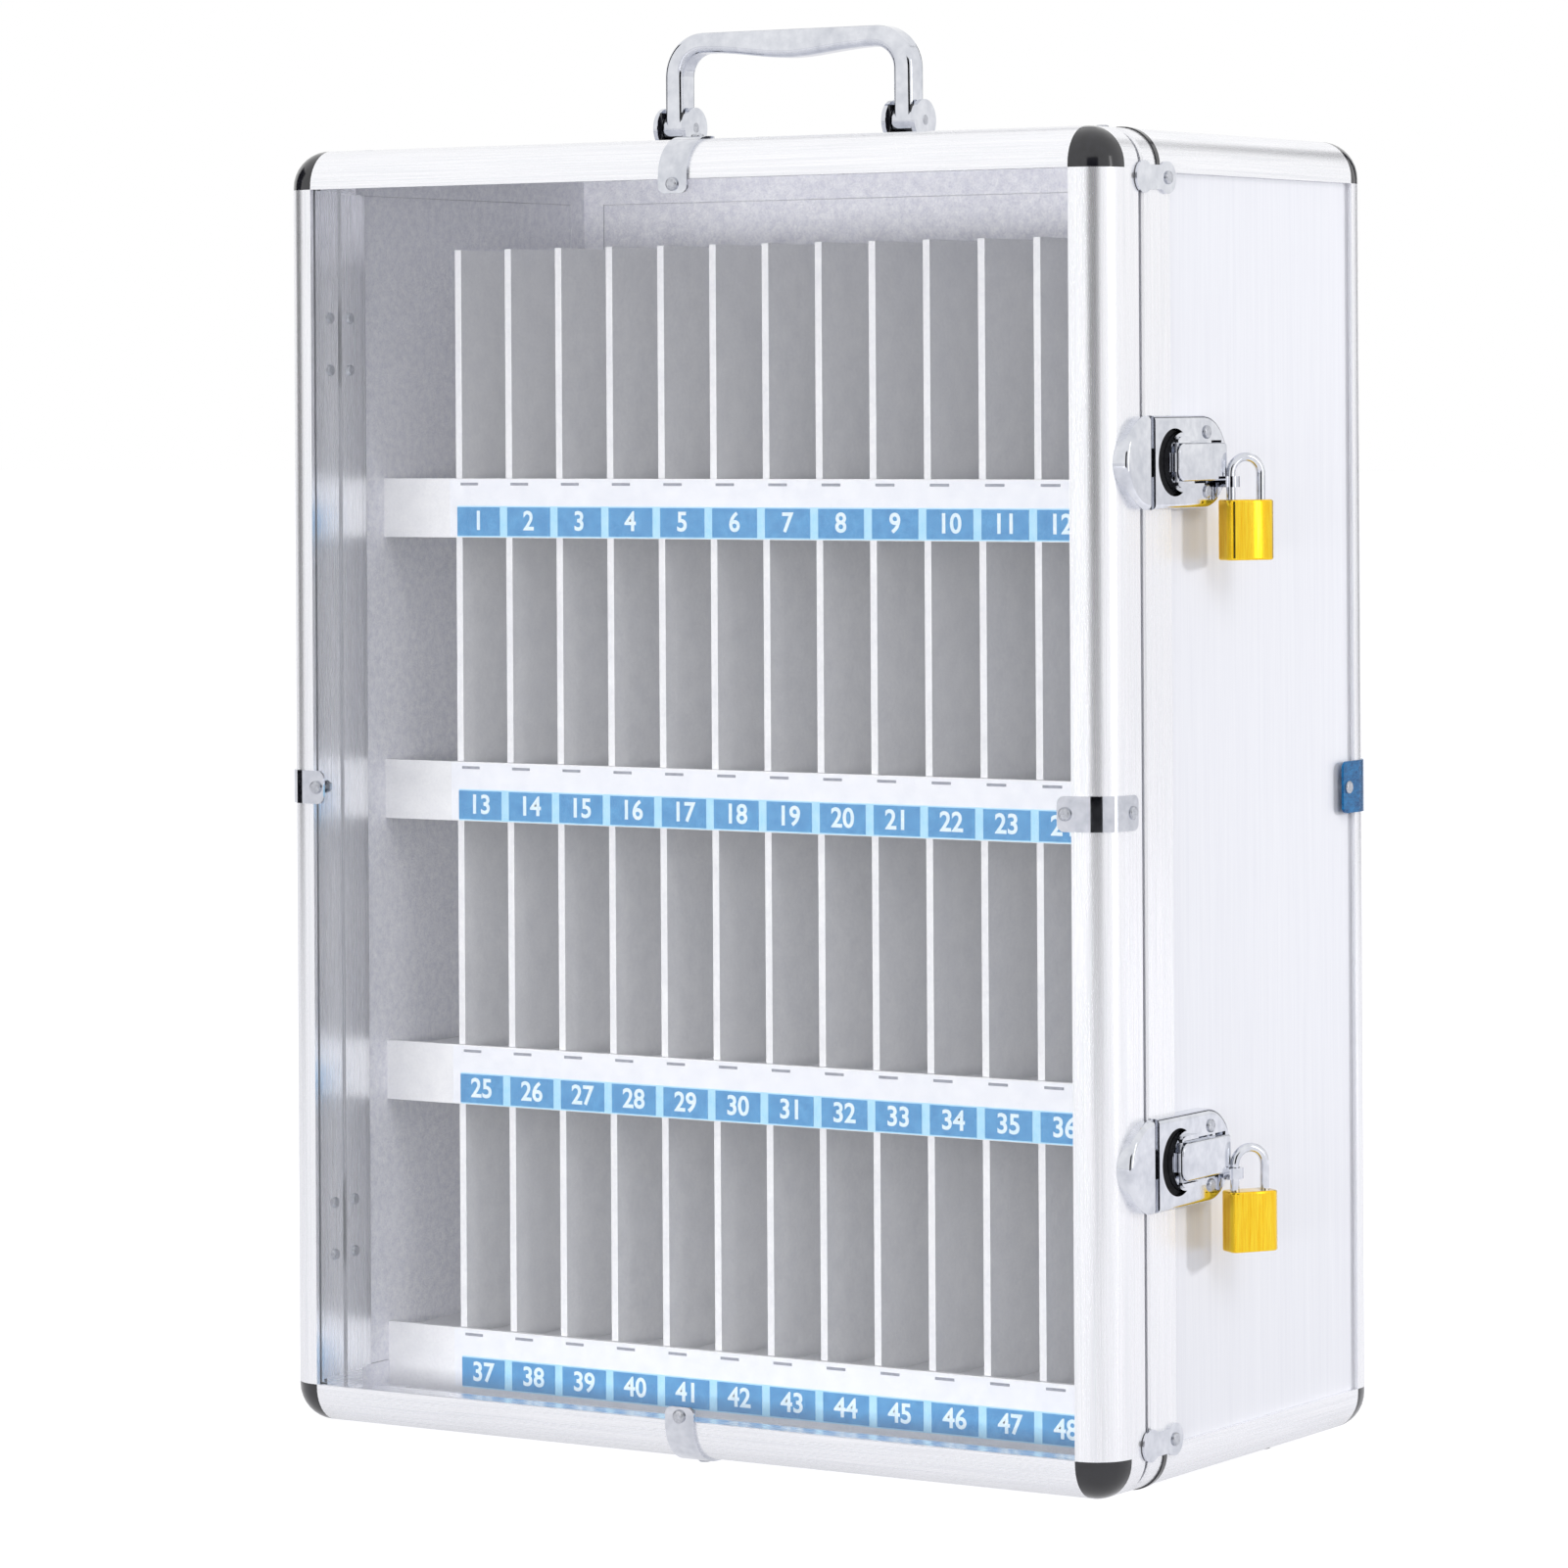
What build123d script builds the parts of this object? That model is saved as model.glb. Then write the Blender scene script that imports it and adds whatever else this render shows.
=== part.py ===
"""Phone locker box: an aluminium-edged case with a clear hinged door, 48 numbered slots on
four shelves, two lever latches with small padlocks and a folding carrying handle.

Millimetres. X runs from left to right, Y from the door to the back and Z up. The origin is
on the level surface that the feet stand on, under the middle of the case.
"""

import os
from math import cos, radians, sin

from build123d import *

# ---------------------------------------------------------------- driving dimensions
# case
case_width = 374.0
case_depth = 209.0  # door front to case back
case_height = 500.0
foot_height = 3.0
edge_radius = 14.5  # quarter-round of every outer edge
door_gap = 2.5  # slit between door and case
gap_chamfer = 0.8

# door frame extrusion: a flange over the sheet, a rebate and a hollow tube
door_depth = 25.5
door_face = 15.5
door_wall = 9.6
flange_thick = 2.0
tube_skin = 1.8
rebate_lip = 1.6
rebate_reach = 14.0
cap_depth = 14.5

# clear door sheet
window_thick = 3.0
window_bite = 5.0
sheet_clear = 0.2

# case frame extrusions: slots along their edges hold the panels
post_depth = 20.0
post_block = 13.0
case_face = 16.5
lip_out = 1.8
lip_in = 1.4
panel_bite = 7.0
panel_thick = 3.0
panel_clear = 0.2
ring_depth = 9.8
collar_depth = 2.4
collar_proud = 0.4
liner_thick = 1.5

# shelves, dividers and labels
row_count = 4
slot_count = 12
row_pitch = 112.8
slot_pitch = 24.3
divider_thick = 3.0
divider_clear = 0.2
top_divider_height = 94.0
label_height = 23.5
label_thick = 3.0
label_setback = 60.0  # door front to label rail front
lowest_label_top = 32.0  # above the case's underside
board_thick = 3.0
board_drop = 3.0  # board top below the label rail's top edge
strip_thick = 0.4
strip_overhang = 2.0
strip_height = 22.5
tag_width = 20.6
tag_height = 11.3
tag_thick = 0.4
tag_rise = 0.8

# fasteners
rivet_radius = 1.5
rivet_head_radius = 2.5
rivet_head_height = 1.0
rivet_tail_radius = 2.2
rivet_tail_height = 1.0
rivet_clear = 0.05
screw_radius = 1.2
screw_head_radius = 2.6
screw_head_height = 1.5
dome_share = 0.8  # of a domed head's height that is rounded
nut_radius = 2.4
nut_thick = 1.6

# hinges on the left side
hinge_height = 32.0
hinge_from_top = 76.0
hinge_from_bottom = 74.0
hinge_leaf = 12.0
leaf_thick = 1.2
barrel_radius = 2.2
barrel_gap = 0.1
hinge_pin_radius = 1.2
pin_clear = 0.05
knuckle_count = 5
knuckle_gap = 0.3
rivet_row = 6.5  # rivet to hinge line
rivet_spread = 20.6

# rivets at the ends of the case's front rails
rail_rivet_inset = 20.0
rail_rivet_back = 5.5

# straps round the door frame and the rear posts
strap_width = 13.0
strap_thick = 1.0
strap_front = 21.0
strap_side = 20.5
strap_screw_inset = 17.5
strap_rivet_inset = 16.5
strap_corner = 3.0
rear_strap_width = 20.0
rear_strap_side = 27.4
rear_strap_back = 21.0
rear_strap_rivet = 4.0  # rivet to the strap's front end

# corner brackets on the right side
bracket_lobe = 6.0
bracket_waist = 4.5
bracket_thick = 1.2
bracket_relief = 0.3  # over the door
bracket_clear = 0.1  # round the collar
bracket_nose = 27.6  # door front to the nose's centre
bracket_rivet = 45.0  # door front to the rivet
bracket_inset = 18.5  # below the case's top

# latches, in a frame on the case's right face at the middle of the door gap
latch_from_top = 123.0
latch_from_bottom = 120.5
dish_front = 19.0
dish_back = 57.3
dish_height = 34.4
dish_thick = 4.5
dish_round = 2.0
latch_gap = 1.8
well_floor = 2.4
recess_radius = 12.5
recess_centre = 16.3
hub_radius = 11.0
hub_centre = 22.3
recess_floor = 1.9
guide_thick = 0.6
guide_clear = 0.2
lever_front = 14.3
lever_back = 50.7
lever_width = 14.0
lever_thick = 1.2
lever_top = 7.5
lever_round = 4.5
lever_flange = 1.2
lever_soft = 0.7
lever_back_round = 1.5
flange_lift = 1.2
flange_setback = 3.0
lever_pivot = 1.9  # behind the lever's front edge
lever_pin_height = 5.3
lever_pin_radius = 0.8
lever_barrel_radius = 1.9
lever_barrel_length = 7.0
cradle_gap = 0.9
well_round = 3.6
cradle_wall = 1.6
cradle_top = 6.6
cradle_step = 4.7  # top of the cradle's lower front
cradle_step_back = 15.0
cradle_length = 13.0
hook_width = 10.0
hook_thick = 0.8
hook_floor = 0.7
hook_clear = 0.2
hook_front = 9.8
hook_back = 20.0
hook_travel = 5.0
hook_round = 2.0
latch_rivet_back = 40.3
latch_rivet_side = 11.0
catch_screw_front = 7.5
catch_screw_side = 10.0
catch_screw_depth = 2.4
catch_screw_head = 0.9
lug_radius = 3.3
lug_thick = 4.0
lug_drop = 5.5  # below the latch's middle line
lug_back = 52.3
lug_out = 8.0
lug_root = 4.0
lug_web = 1.0
lug_play = 0.3

# padlocks
lock_turn = 33.0  # broad side, turned out from the case's side
lock_width = 19.5
lock_thick = 10.5
lock_height = 22.5
lock_round = 2.6
lock_edge = 0.8
lock_drop = 14.2  # top of the body below the latch's middle line
shackle_radius = 1.7
shackle_bow = 6.3
shackle_rise = 9.5  # body top to the bow's centre
shackle_clear = 0.08
heel_depth = 15.0
toe_depth = 4.0
bore_end = 1.0
plug_radius = 3.2
plug_length = 11.0
plug_clear = 0.05
plug_end = 1.2
keyway_width = 1.0
keyway_length = 4.2
keyway_depth = 8.0

# handle on the top
handle_span = 105.4  # between the legs' centres
handle_setback = 84.0  # door front to handle
handle_pivot = 9.9  # above the top panel
handle_rise = 37.0  # pivot to the top of the grip
handle_deep = 11.0
leg_width = 8.6
grip_end = 8.0
grip_middle = 11.0
bend_radius = 17.0
handle_soft = 2.6  # rounding of the casting's edges
handle_pin_radius = 2.0
stop_gap = 0.4
stop_thick = 1.0
stop_rise = 6.0
ear_thick = 1.8
ear_radius = 8.0
ear_base = 12.0
foot_plate_length = 25.6
foot_plate_width = 19.0
foot_plate_thick = 1.6
foot_plate_round = 3.0
handle_rivet_reach = 10.2

# rubber feet
foot_radius = 7.0
foot_inset_side = 26.0
foot_inset_front = 56.0
foot_inset_rear = 53.0
foot_chamfer = 0.8

# cuts
past = 1.0  # how far a cut runs past a surface
through = 20.0  # goes through any wall and the trim on it
wide = 99.0  # wider than any small piece

# ---------------------------------------------------------------- places worked out
x_right = case_width / 2
x_left = -x_right
y_front = -case_depth / 2
y_rear = case_depth / 2
y_case = y_front + door_depth + door_gap
y_gap = y_case - door_gap / 2
y_collar = y_case + ring_depth
y_rails = y_collar + collar_depth
slot_far = lip_out + panel_thick + panel_clear
inner_wall = slot_far + lip_in
slot_floor = case_face - panel_bite
panel_edge = slot_floor + panel_clear
panel_out = lip_out + panel_clear / 2
panel_in = panel_out + panel_thick
z_ground = 0.0
z_low = z_ground + foot_height
z_high = z_low + case_height
z_mid = (z_low + z_high) / 2
liner_in = panel_in + liner_thick
liner_edge = case_face + panel_clear
y_panel = y_case + post_block + panel_clear
y_liner = y_case + post_depth + panel_clear
sheet_back = flange_thick + window_thick + sheet_clear
sheet_floor = door_face - window_bite
sheet_edge = sheet_floor + sheet_clear
sheet_front = flange_thick + sheet_clear / 2

OUT_RIGHT = (1, 0, 0)
OUT_LEFT = (-1, 0, 0)
TO_BACK = (0, 1, 0)
TO_FRONT = (0, -1, 0)
UP = (0, 0, 1)
DOWN = (0, 0, -1)


# ---------------------------------------------------------------- helpers
def block(x0, x1, y0, y1, z0, z1):
    """A box between two corners."""
    solid = Box(abs(x1 - x0), abs(y1 - y0), abs(z1 - z0))
    return Pos((x0 + x1) / 2, (y0 + y1) / 2, (z0 + z1) / 2) * solid


def rod(start, direction, radius, length):
    """A cylinder that starts at a point and runs one way."""
    return extrude(Plane(origin=start, z_dir=direction) * Circle(radius), amount=length)


def mirror_x(shape):
    return mirror(shape, about=Plane.YZ)


def mirror_z(shape):
    return mirror(shape, about=Plane(origin=(0, 0, z_mid), z_dir=UP))


def bar(section, middle, u_dir, v_dir, length):
    """A section, drawn inward along u and v, pushed out both ways from the middle."""
    along = Vector(*u_dir).cross(Vector(*v_dir))
    plane = Plane(origin=middle, x_dir=u_dir, z_dir=along)
    return extrude(plane * section, amount=length / 2, both=True)


def face_of(points):
    """A flat face with straight sides through the points."""
    return make_face(Polyline(*points, close=True))


def rectangle(u0, u1, v0, v1):
    return face_of([(u0, v0), (u1, v0), (u1, v1), (u0, v1)])


def nearest_vertex(face, place):
    return min(face.vertices(), key=lambda v: (Vector(*v) - Vector(*place)).length)


def rounded_at(face, place, radius):
    """The face with one corner rounded."""
    return fillet(nearest_vertex(face, (place[0], place[1], 0)), radius)


def group(shapes):
    """Separate solids kept together as one node."""
    solids = []
    for shape in shapes:
        solids.extend(shape.solids())
    return Compound(children=solids)


def domed(start, direction, radius, height):
    """A shallow domed head that stands on a face."""
    disc = rod(start, direction, radius, height)
    rim = disc.faces().sort_by(Axis(start, direction))[-1].edges()
    return fillet(rim, height * dome_share)


def rivet(seat, outward, grip, tail_height=rivet_tail_height):
    """A rivet with its head on the seat, and its tail behind the thickness it grips."""
    inward = (-outward[0], -outward[1], -outward[2])
    end = Vector(*seat) + Vector(*inward) * grip
    shank = rod(seat, inward, rivet_radius, grip)
    head = domed(seat, outward, rivet_head_radius, rivet_head_height)
    if tail_height == 0:
        return head + shank
    return head + shank + domed(tuple(end), inward, rivet_tail_radius, tail_height)


def drilled(shape, places, direction, depth, radius):
    """Round holes that start at each place."""
    for place in places:
        shape -= rod(place, direction, radius, depth)
    return shape


# ---------------------------------------------------------------- frame sections
def door_section():
    face = face_of(
        [
            (0, 0),
            (door_face, 0),
            (door_face, flange_thick),
            (sheet_floor, flange_thick),
            (sheet_floor, sheet_back),
            (rebate_reach, sheet_back),
            (rebate_reach, sheet_back + rebate_lip),
            (door_wall, sheet_back + rebate_lip),
            (door_wall, door_depth),
            (0, door_depth),
        ]
    )
    face = rounded_at(face, (0, 0), edge_radius)
    face = chamfer(nearest_vertex(face, (0, door_depth, 0)), gap_chamfer)
    hollow_front = sheet_back + rebate_lip + tube_skin
    return face - rectangle(
        tube_skin, door_wall - tube_skin, hollow_front, door_depth - tube_skin
    )


def post_section():
    """The case's front frame: a hollow block with a slot behind it for the panel."""
    face = rectangle(0, door_wall, 0, post_block)
    face = chamfer(nearest_vertex(face, (0, 0, 0)), gap_chamfer)
    face -= rectangle(tube_skin, door_wall - tube_skin, tube_skin, post_block - tube_skin)
    face += rectangle(0, lip_out, post_block, post_depth)
    return face + rectangle(slot_far, inner_wall, post_block, post_depth)


def edge_section():
    """A quarter-round edge with a slot along each side for a panel."""
    face = rectangle(0, case_face, 0, case_face)
    face -= rectangle(inner_wall, case_face, inner_wall, case_face)
    face -= rectangle(lip_out, slot_far, slot_floor, case_face)
    face -= rectangle(slot_floor, case_face, lip_out, slot_far)
    return rounded_at(face, (0, 0), edge_radius)


# ---------------------------------------------------------------- corner pieces
def corner_block(size, depth, round_front):
    """A block from its own corner at zero, with its outer edges rounded."""
    reach = size + depth + edge_radius
    body = block(0, reach, 0, reach, 0, reach)
    edges = []
    for edge in body.edges():
        place = edge.center()
        if place.X < 0.01 and place.Z < 0.01:
            edges.append(edge)
        elif round_front and place.Y < 0.01 and min(place.X, place.Z) < 0.01:
            edges.append(edge)
    return fillet(edges, edge_radius) & block(0, size, 0, depth, 0, size)


def corner_ring(size, depth, wall):
    """A slice of a rounded frame corner, open towards the inside."""
    ring = corner_block(size, depth, False)
    far = size + past
    return ring - block(wall, far, -past, depth + past, wall, far)


def outer_rim(ring, size, y):
    """The edges of a corner ring's outer outline on one of its flat ends."""
    rim = []
    for edge in ring.edges():
        place = edge.center()
        outer = min(place.X, place.Z) < edge_radius / 2 and max(place.X, place.Z) < size - 0.1
        if outer and abs(place.Y - y) < 0.01:
            rim.append(edge)
    return rim


def at_top_right(shape, y):
    """Moves a piece drawn from its own corner to the top right corner of the case."""
    turned = mirror(mirror(shape, about=Plane.YZ), about=Plane.XY)
    return Pos(x_right, y, z_high) * turned


def four_corners(shape):
    left = mirror_x(shape)
    return [shape, left, mirror_z(shape), mirror_z(left)]


def door_corner_cap():
    """A black rounded cap, notched for the clear sheet."""
    far = door_face + past
    cap = corner_block(door_face, cap_depth, True)
    cap -= block(sheet_floor, far, flange_thick, sheet_back, sheet_floor, far)
    cap -= block(door_wall, far, sheet_back + rebate_lip, cap_depth + past, door_wall, far)
    return at_top_right(cap, y_front)


def door_corner_sleeve():
    depth = door_depth - cap_depth
    sleeve = corner_ring(door_face, depth, door_wall)
    sleeve = chamfer(outer_rim(sleeve, door_face, depth), gap_chamfer)
    return at_top_right(sleeve, y_front + cap_depth)


def case_corner_ring():
    ring = corner_ring(case_face, ring_depth, door_wall)
    ring = chamfer(outer_rim(ring, case_face, 0), gap_chamfer)
    return at_top_right(ring, y_case)


def case_collar():
    """A thin black collar, a little proud of the frame, between corner and rails."""
    size = case_face + collar_proud
    collar = corner_block(size, collar_depth, False)
    wall = inner_wall + collar_proud
    collar -= block(wall, size + past, -past, collar_depth + past, wall, size + past)
    return Pos(collar_proud, 0, collar_proud) * at_top_right(collar, y_collar)


def rear_corner_cap():
    reach = case_face + past
    cap = corner_block(case_face, case_face, True)
    cap -= block(inner_wall, reach, inner_wall, reach, inner_wall, reach)
    for thin in range(3):
        low = [slot_floor] * 3
        high = [reach] * 3
        low[thin] = lip_out
        high[thin] = slot_far
        cap -= block(low[0], high[0], low[1], high[1], low[2], high[2])
    return at_top_right(mirror(cap, about=Plane.XZ), y_rear)


# ---------------------------------------------------------------- rivet places
hinge_heights = (z_low + hinge_from_bottom, z_high - hinge_from_top)
hinge_x = x_left - barrel_radius - barrel_gap
latch_heights = {"upper": z_high - latch_from_top, "lower": z_low + latch_from_bottom}
handle_y = y_front + handle_setback
top_face = z_high - panel_out
handle_z = top_face + handle_pivot
strap_y = y_front + strap_rivet_inset


def hinge_rivet_places(side):
    """Side is -1 on the door and 1 on the case."""
    places = []
    for z in hinge_heights:
        for step in (-1, 1):
            places.append((x_left - leaf_thick, y_gap + side * rivet_row, z + step * rivet_spread / 2))
    return places


def latch_rivet_places():
    places = []
    for z in latch_heights.values():
        for side in (-1, 1):
            y = y_gap + latch_rivet_back
            places.append((x_right + dish_thick, y, z + side * latch_rivet_side))
    return places


def catch_screw_places():
    places = []
    for z in latch_heights.values():
        for side in (-1, 1):
            y = y_gap - catch_screw_front
            places.append((x_right - door_wall, y, z + side * catch_screw_side))
    return places


def handle_rivet_places():
    places = []
    for side in (-1, 1):
        for step in (-1, 1):
            x = side * handle_span / 2 + step * handle_rivet_reach
            places.append((x, handle_y, top_face + foot_plate_thick))
    return places


def rear_strap_rivet_places():
    y = y_rear - rear_strap_side + rear_strap_rivet
    return [(sign * (x_right + strap_thick), y, z_mid) for sign in (1, -1)]


def rail_rivet_seats():
    """Rivets near the ends of the case's top and bottom front rails."""
    seats = []
    for x in (x_left + rail_rivet_inset, x_right - rail_rivet_inset):
        seats.append(((x, y_case + rail_rivet_back, z_high), UP))
        seats.append(((x, y_case + rail_rivet_back, z_low), DOWN))
    return seats


def bracket_rivet_places():
    y = y_front + bracket_rivet
    heights = (z_high - bracket_inset, z_low + bracket_inset)
    return [(x_right + bracket_thick, y, z) for z in heights]


# ---------------------------------------------------------------- case frame and panels
def side_panel():
    return block(
        x_right - panel_in,
        x_right - panel_out,
        y_panel,
        y_rear - panel_edge,
        z_low + panel_edge,
        z_high - panel_edge,
    )


def side_panel_right():
    radius = rivet_radius + rivet_clear
    panel = drilled(side_panel(), latch_rivet_places(), OUT_LEFT, through, radius)
    return drilled(panel, rear_strap_rivet_places()[:1], OUT_LEFT, through, radius)


def side_panel_left():
    radius = rivet_radius + rivet_clear
    panel = mirror_x(side_panel())
    return drilled(panel, rear_strap_rivet_places()[1:], OUT_RIGHT, through, radius)


def flat_panel():
    return block(
        x_left + panel_edge,
        x_right - panel_edge,
        y_panel,
        y_rear - panel_edge,
        z_high - panel_in,
        z_high - panel_out,
    )


def top_panel():
    radius = rivet_radius + rivet_clear
    return drilled(flat_panel(), handle_rivet_places(), DOWN, through, radius)


def back_panel():
    return block(
        x_left + panel_edge,
        x_right - panel_edge,
        y_rear - panel_in,
        y_rear - panel_out,
        z_low + panel_edge,
        z_high - panel_edge,
    )


def front_posts():
    length = case_height - 2 * case_face
    post = bar(post_section(), (x_right, y_case, z_mid), OUT_LEFT, TO_BACK, length)
    radius = rivet_radius + rivet_clear
    left = drilled(mirror_x(post), hinge_rivet_places(1), OUT_RIGHT, through, radius)
    right = drilled(post, bracket_rivet_places(), OUT_LEFT, bracket_thick + lip_out + past, radius)
    return left, right


def front_rails():
    length = case_width - 2 * case_face
    top = bar(post_section(), (0, y_case, z_high), DOWN, TO_BACK, length)
    places = [seat for seat, outward in rail_rivet_seats() if outward == UP]
    top = drilled(top, places, DOWN, tube_skin + past, rivet_radius + rivet_clear)
    return top, mirror_z(top)


def rear_posts():
    length = case_height - 2 * case_face
    post = bar(edge_section(), (x_right, y_rear, z_mid), OUT_LEFT, TO_FRONT, length)
    return mirror_x(post), post


def rear_rails():
    length = case_width - 2 * case_face
    top = bar(edge_section(), (0, y_rear, z_high), DOWN, TO_FRONT, length)
    return top, mirror_z(top)


def side_rails():
    """The four edges that run from front to back."""
    end = y_rear - case_face
    middle = (x_right, (y_rails + end) / 2, z_high)
    return four_corners(bar(edge_section(), middle, DOWN, OUT_LEFT, end - y_rails))


def feet():
    made = []
    for x in (x_left + foot_inset_side, x_right - foot_inset_side):
        for y in (y_front + foot_inset_front, y_rear - foot_inset_rear):
            foot = rod((x, y, z_ground), UP, foot_radius, foot_height + panel_out)
            made.append(chamfer(foot.faces().sort_by(Axis.Z)[0].edges(), foot_chamfer))
    return made


# ---------------------------------------------------------------- liners, shelves, labels
def back_liner():
    return block(
        x_left + liner_edge,
        x_right - liner_edge,
        y_rear - liner_in,
        y_rear - panel_in,
        z_low + liner_edge,
        z_high - liner_edge,
    )


def side_liner():
    return block(
        x_right - liner_in,
        x_right - panel_in,
        y_liner,
        y_rear - liner_edge,
        z_low + liner_edge,
        z_high - liner_edge,
    )


def flat_liner():
    return block(
        x_left + liner_edge,
        x_right - liner_edge,
        y_liner,
        y_rear - liner_edge,
        z_high - liner_in,
        z_high - panel_in,
    )


def liners():
    room = rivet_tail_radius + rivet_clear
    right = drilled(side_liner(), latch_rivet_places(), OUT_LEFT, through, room)
    right = drilled(right, rear_strap_rivet_places()[:1], OUT_LEFT, through, room)
    left = drilled(mirror_x(side_liner()), rear_strap_rivet_places()[1:], OUT_RIGHT, through, room)
    top = drilled(flat_liner(), handle_rivet_places(), DOWN, through, room)
    return [right, left, top, mirror_z(flat_liner())]


x_shelf = x_right - inner_wall
y_shelf_back = y_rear - inner_wall
y_label = y_front + label_setback
y_board = y_label + label_thick


def label_top(row):
    """Row 0 is the lowest."""
    return z_low + lowest_label_top + row * row_pitch


def board_top(row):
    return label_top(row) - board_drop


def label_rail(row):
    low = z_low + inner_wall if row == 0 else label_top(row) - label_height
    return block(-x_shelf, x_shelf, y_label, y_board, low, label_top(row))


def shelf(row):
    high = board_top(row)
    return block(-x_shelf, x_shelf, y_board, y_shelf_back, high - board_thick, high)


def dividers(row):
    """Upright boards that part one shelf into slots."""
    low = board_top(row)
    high = low + top_divider_height
    if row < row_count - 1:
        high = board_top(row + 1) - board_thick
    boards = []
    for n in range(slot_count + 1):
        x = (n - slot_count / 2) * slot_pitch
        boards.append(
            block(
                x - divider_thick / 2,
                x + divider_thick / 2,
                y_board + divider_clear,
                y_shelf_back,
                low,
                high,
            )
        )
    return boards


def label_strip(row):
    """A printed strip on the front of a label rail."""
    half = slot_count * slot_pitch / 2 + strip_overhang
    middle = label_top(row) - label_height / 2
    low = middle - strip_height / 2
    return block(-half, half, y_label - strip_thick, y_label, low, low + strip_height)


def number_tags():
    tags = []
    front = y_label - strip_thick - tag_thick
    for row in range(row_count):
        low = label_top(row) - label_height + tag_rise
        for n in range(slot_count):
            x = (n - (slot_count - 1) / 2) * slot_pitch
            left = x - tag_width / 2
            tags.append(block(left, left + tag_width, front, front + tag_thick, low, low + tag_height))
    return tags


# ---------------------------------------------------------------- straps
def strap_section(reach_front, reach_side):
    """A strip bent round the quarter-round edge."""
    out = strap_thick
    face = face_of(
        [
            (-out, -out),
            (reach_front, -out),
            (reach_front, 0),
            (0, 0),
            (0, reach_side),
            (-out, reach_side),
        ]
    )
    face = rounded_at(face, (-out, -out), edge_radius + out)
    return rounded_at(face, (0, 0), edge_radius)


def softened_ends(strap):
    tips = [e for e in strap.edges() if abs(e.length - strap_thick) < 0.01]
    return fillet(tips, strap_corner)


def strap_screw_places():
    """Where each strap's screw goes through the clear sheet."""
    y = y_front - strap_thick
    x = x_right - strap_screw_inset
    top = z_high - strap_screw_inset
    bottom = z_low + strap_screw_inset
    return [(x, y, z_mid), (-x, y, z_mid), (0, y, top), (0, y, bottom)]


def strap_rivet_seats():
    """Where each strap's rivet goes through the door frame's outer wall."""
    out = strap_thick
    return [
        ((x_right + out, strap_y, z_mid), OUT_RIGHT),
        ((x_left - out, strap_y, z_mid), OUT_LEFT),
        ((0, strap_y, z_high + out), UP),
        ((0, strap_y, z_low - out), DOWN),
    ]


def door_straps():
    """One strap in the middle of each side of the door."""
    section = strap_section(strap_front, strap_side)
    right = bar(section, (x_right, y_front, z_mid), OUT_LEFT, TO_BACK, strap_width)
    top = bar(section, (0, y_front, z_high), DOWN, TO_BACK, strap_width)
    right = softened_ends(right)
    top = softened_ends(top)
    straps = []
    for strap, (seat, outward) in zip((right, mirror_x(right), top, mirror_z(top)), strap_rivet_seats()):
        inward = (-outward[0], -outward[1], -outward[2])
        depth = strap_thick + past
        strap = drilled(strap, strap_screw_places(), TO_BACK, depth, screw_radius + rivet_clear)
        straps.append(drilled(strap, [seat], inward, depth, rivet_radius + rivet_clear))
    return straps


def strap_screw(place):
    """A domed screw with its nut behind the sheet."""
    x, y, z = place
    length = strap_thick + sheet_front + window_thick + nut_thick
    head = domed(place, TO_FRONT, screw_head_radius, screw_head_height)
    shank = rod(place, TO_BACK, screw_radius, length)
    nut_start = Plane(origin=(x, y + length - nut_thick, z), z_dir=TO_BACK)
    nut = extrude(nut_start * RegularPolygon(nut_radius, 6), amount=nut_thick)
    return head + shank + nut


def rear_straps():
    section = strap_section(rear_strap_back, rear_strap_side)
    right = bar(section, (x_right, y_rear, z_mid), OUT_LEFT, TO_FRONT, rear_strap_width)
    right = softened_ends(right)
    radius = rivet_radius + rivet_clear
    right = drilled(right, rear_strap_rivet_places()[:1], OUT_LEFT, strap_thick + past, radius)
    return [right, mirror_x(right)]


# ---------------------------------------------------------------- door
def door_stiles():
    length = case_height - 2 * door_face
    right = bar(door_section(), (x_right, y_front, z_mid), OUT_LEFT, TO_BACK, length)
    radius = rivet_radius + rivet_clear
    left = drilled(mirror_x(right), hinge_rivet_places(-1), OUT_RIGHT, through, radius)
    screw_hole = screw_radius + rivet_clear
    right = drilled(right, catch_screw_places(), OUT_RIGHT, door_wall + past, screw_hole)
    (seat_right, _), (seat_left, _) = strap_rivet_seats()[:2]
    depth = strap_thick + tube_skin + past
    right = drilled(right, [seat_right], OUT_LEFT, depth, radius)
    left = drilled(left, [seat_left], OUT_RIGHT, depth, radius)
    return left, right


def door_rails():
    length = case_width - 2 * door_face
    rail = bar(door_section(), (0, y_front, z_high), DOWN, TO_BACK, length)
    seat = strap_rivet_seats()[2][0]
    top = drilled(rail, [seat], DOWN, strap_thick + tube_skin + past, rivet_radius + rivet_clear)
    return top, mirror_z(top)


def door_window():
    sheet = block(
        x_left + sheet_edge,
        x_right - sheet_edge,
        y_front + sheet_front,
        y_front + sheet_front + window_thick,
        z_low + sheet_edge,
        z_high - sheet_edge,
    )
    return drilled(sheet, strap_screw_places(), TO_BACK, through, screw_radius + rivet_clear)


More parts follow.
